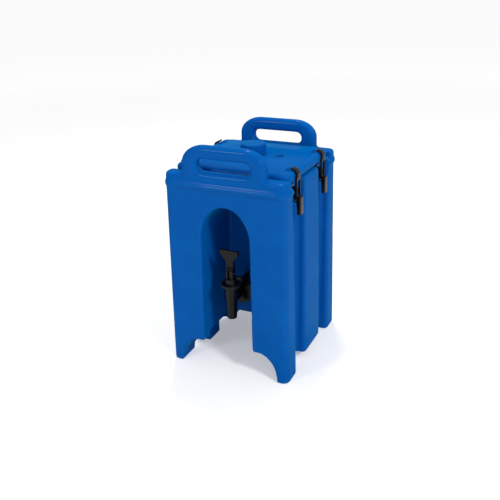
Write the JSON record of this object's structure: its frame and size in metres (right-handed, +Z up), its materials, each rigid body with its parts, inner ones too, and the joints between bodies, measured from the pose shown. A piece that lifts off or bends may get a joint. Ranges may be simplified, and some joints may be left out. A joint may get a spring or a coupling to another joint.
{
  "type": "beverage dispenser",
  "caption": "Upright insulated beverage dispenser with a lift-off lid under side draw latches, moulded carry handles and a lever faucet in an arched front recess.",
  "frame": {"origin": "centre of the footprint on the ground", "axes": "+Z up, -Y towards the front with the faucet, +X to the right for someone facing the front"},
  "size_m": [0.259, 0.286, 0.461],
  "materials": {
    "body_plastic": "rotomoulded, satin",
    "lid_plastic": "rotomoulded, satin",
    "foam": "rigid foam",
    "plug_plastic": "satin",
    "seal": "soft",
    "latch_plastic": "moulded nylon",
    "pin_steel": "bright",
    "rivet_metal": "satin",
    "faucet_plastic": "moulded, semi-gloss",
    "faucet_rubber": "soft"
  },
  "bodies": {
    "body": {"body_shell": "body_plastic", "body_foam": "foam", "foam_plugs": "plug_plastic", "latch_rivets": "rivet_metal", "latch_base_right_front": "latch_plastic", "latch_base_right_rear": "latch_plastic", "latch_base_left_front": "latch_plastic", "latch_base_left_rear": "latch_plastic", "lever_pin_right_front": "pin_steel", "lever_pin_right_rear": "pin_steel", "lever_pin_left_front": "pin_steel", "lever_pin_left_rear": "pin_steel", "faucet_body": "faucet_plastic", "faucet_outer_washer": "faucet_rubber", "faucet_inner_washer": "faucet_rubber", "faucet_nut": "faucet_plastic", "faucet_bonnet": "faucet_plastic"},
    "lid": {"lid_shell": "lid_plastic", "lid_foam": "foam", "lid_foam_plug": "plug_plastic", "lid_gasket": "seal"},
    "vent_cap": {"vent_cap": "lid_plastic", "vent_seal": "seal"},
    "lever_right_front": {"latch_lever_right_front": "latch_plastic", "hook_pin_right_front": "pin_steel"},
    "hook_right_front": {"latch_hook_right_front": "latch_plastic"},
    "lever_right_rear": {"latch_lever_right_rear": "latch_plastic", "hook_pin_right_rear": "pin_steel"},
    "hook_right_rear": {"latch_hook_right_rear": "latch_plastic"},
    "lever_left_front": {"latch_lever_left_front": "latch_plastic", "hook_pin_left_front": "pin_steel"},
    "hook_left_front": {"latch_hook_left_front": "latch_plastic"},
    "lever_left_rear": {"latch_lever_left_rear": "latch_plastic", "hook_pin_left_rear": "pin_steel"},
    "hook_left_rear": {"latch_hook_left_rear": "latch_plastic"},
    "faucet_stem": {"faucet_stem": "faucet_plastic", "faucet_seat_cup": "faucet_rubber", "faucet_pin": "pin_steel"},
    "faucet_lever": {"faucet_lever": "faucet_plastic"}
  },
  "joints": [
    {"name": "lid_lift", "type": "slide", "parent": "body", "child": "lid", "axis": [0, 0, 1], "range_m": [0, 0.085]},
    {"name": "vent_cap_turn", "type": "hinge", "parent": "lid", "child": "vent_cap", "pos_m": [0, 0, 0.43], "axis": [0, 0, 1], "range_deg": [0, 90]},
    {"name": "latch_lever_right_front_swing", "type": "hinge", "parent": "body", "child": "lever_right_front", "pos_m": [0.112, -0.0685, 0.374], "axis": [0, -1, 0], "range_deg": [0, 150]},
    {"name": "latch_hook_right_front_swing", "type": "hinge", "parent": "lever_right_front", "child": "hook_right_front", "pos_m": [0.118, -0.0685, 0.36], "axis": [0, 1, 0], "range_deg": [0, 240]},
    {"name": "latch_lever_right_rear_swing", "type": "hinge", "parent": "body", "child": "lever_right_rear", "pos_m": [0.112, 0.0685, 0.374], "axis": [0, -1, 0], "range_deg": [0, 150]},
    {"name": "latch_hook_right_rear_swing", "type": "hinge", "parent": "lever_right_rear", "child": "hook_right_rear", "pos_m": [0.118, 0.0685, 0.36], "axis": [0, 1, 0], "range_deg": [0, 240]},
    {"name": "latch_lever_left_front_swing", "type": "hinge", "parent": "body", "child": "lever_left_front", "pos_m": [-0.112, -0.0685, 0.374], "axis": [0, 1, 0], "range_deg": [0, 150]},
    {"name": "latch_hook_left_front_swing", "type": "hinge", "parent": "lever_left_front", "child": "hook_left_front", "pos_m": [-0.118, -0.0685, 0.36], "axis": [0, -1, 0], "range_deg": [0, 240]},
    {"name": "latch_lever_left_rear_swing", "type": "hinge", "parent": "body", "child": "lever_left_rear", "pos_m": [-0.112, 0.0685, 0.374], "axis": [0, 1, 0], "range_deg": [0, 150]},
    {"name": "latch_hook_left_rear_swing", "type": "hinge", "parent": "lever_left_rear", "child": "hook_left_rear", "pos_m": [-0.118, 0.0685, 0.36], "axis": [0, -1, 0], "range_deg": [0, 240]},
    {"name": "faucet_stem_lift", "type": "slide", "parent": "body", "child": "faucet_stem", "axis": [0, 0, 1], "range_m": [0, 0.0028]},
    {"name": "faucet_lever_pull", "type": "hinge", "parent": "faucet_stem", "child": "faucet_lever", "pos_m": [0, -0.117, 0.209], "axis": [1, 0, 0], "range_deg": [0, 30]}
  ],
  "couplings": [
    {"joint": "latch_lever_right_front_swing", "follows": "lid_lift", "rad_per_m": 30.798},
    {"joint": "latch_hook_right_front_swing", "follows": "lid_lift", "rad_per_m": 49.278},
    {"joint": "latch_lever_right_rear_swing", "follows": "lid_lift", "rad_per_m": 30.798},
    {"joint": "latch_hook_right_rear_swing", "follows": "lid_lift", "rad_per_m": 49.278},
    {"joint": "latch_lever_left_front_swing", "follows": "lid_lift", "rad_per_m": 30.798},
    {"joint": "latch_hook_left_front_swing", "follows": "lid_lift", "rad_per_m": 49.278},
    {"joint": "latch_lever_left_rear_swing", "follows": "lid_lift", "rad_per_m": 30.798},
    {"joint": "latch_hook_left_rear_swing", "follows": "lid_lift", "rad_per_m": 49.278},
    {"joint": "faucet_stem_lift", "follows": "faucet_lever_pull", "m_per_rad": 0.00534}
  ]
}
